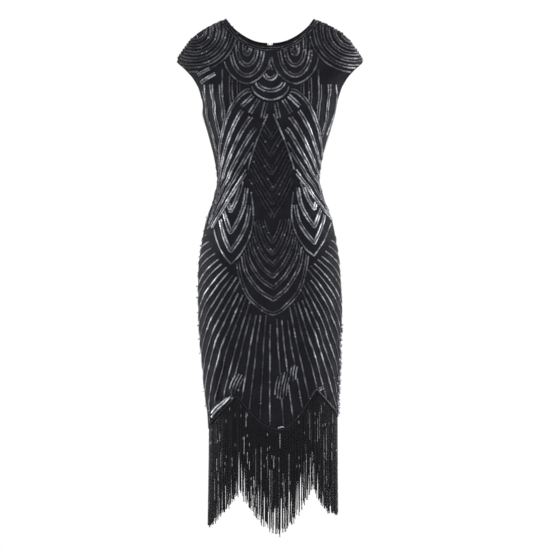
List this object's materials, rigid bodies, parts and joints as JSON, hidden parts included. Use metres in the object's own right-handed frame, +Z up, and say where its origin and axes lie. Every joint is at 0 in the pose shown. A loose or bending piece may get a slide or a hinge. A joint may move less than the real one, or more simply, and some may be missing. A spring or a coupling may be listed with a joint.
{
  "type": "tassel dress",
  "caption": "Beaded net dress with a round neck, cap sleeves, a fitted waist, a back zip, a scalloped hem and a long fringe, filled out and hollow.",
  "frame": {"origin": "midway between the two neck points, where the wearer's shoulders carry the dress", "axes": "+Z up, the front faces -Y, +X is the wearer's left"},
  "size_m": [0.4156, 0.2389, 1.1542],
  "materials": {
    "beaded_net": "black net with rows of dark grey sequins",
    "bead_fringe": "black threads strung with shiny beads",
    "zip_tape": "black woven tape with a moulded chain",
    "zip_metal": "blackened metal, satin"
  },
  "bodies": {
    "dress": {"front": "beaded_net", "back_left": "beaded_net", "back_right": "beaded_net", "cap_sleeve_left": "beaded_net", "cap_sleeve_right": "beaded_net", "fringe_front": "bead_fringe", "fringe_back": "bead_fringe", "zip_tape": "zip_tape", "zip_slider": "zip_metal"},
    "pull_tab": {"zip_pull_tab": "zip_metal"}
  },
  "joints": [
    {"name": "pull_tab_hinge", "type": "hinge", "parent": "dress", "child": "pull_tab", "pos_m": [0, 0.08426, -0.06896], "axis": [1, 0, 0], "range_deg": [0, 150]}
  ]
}
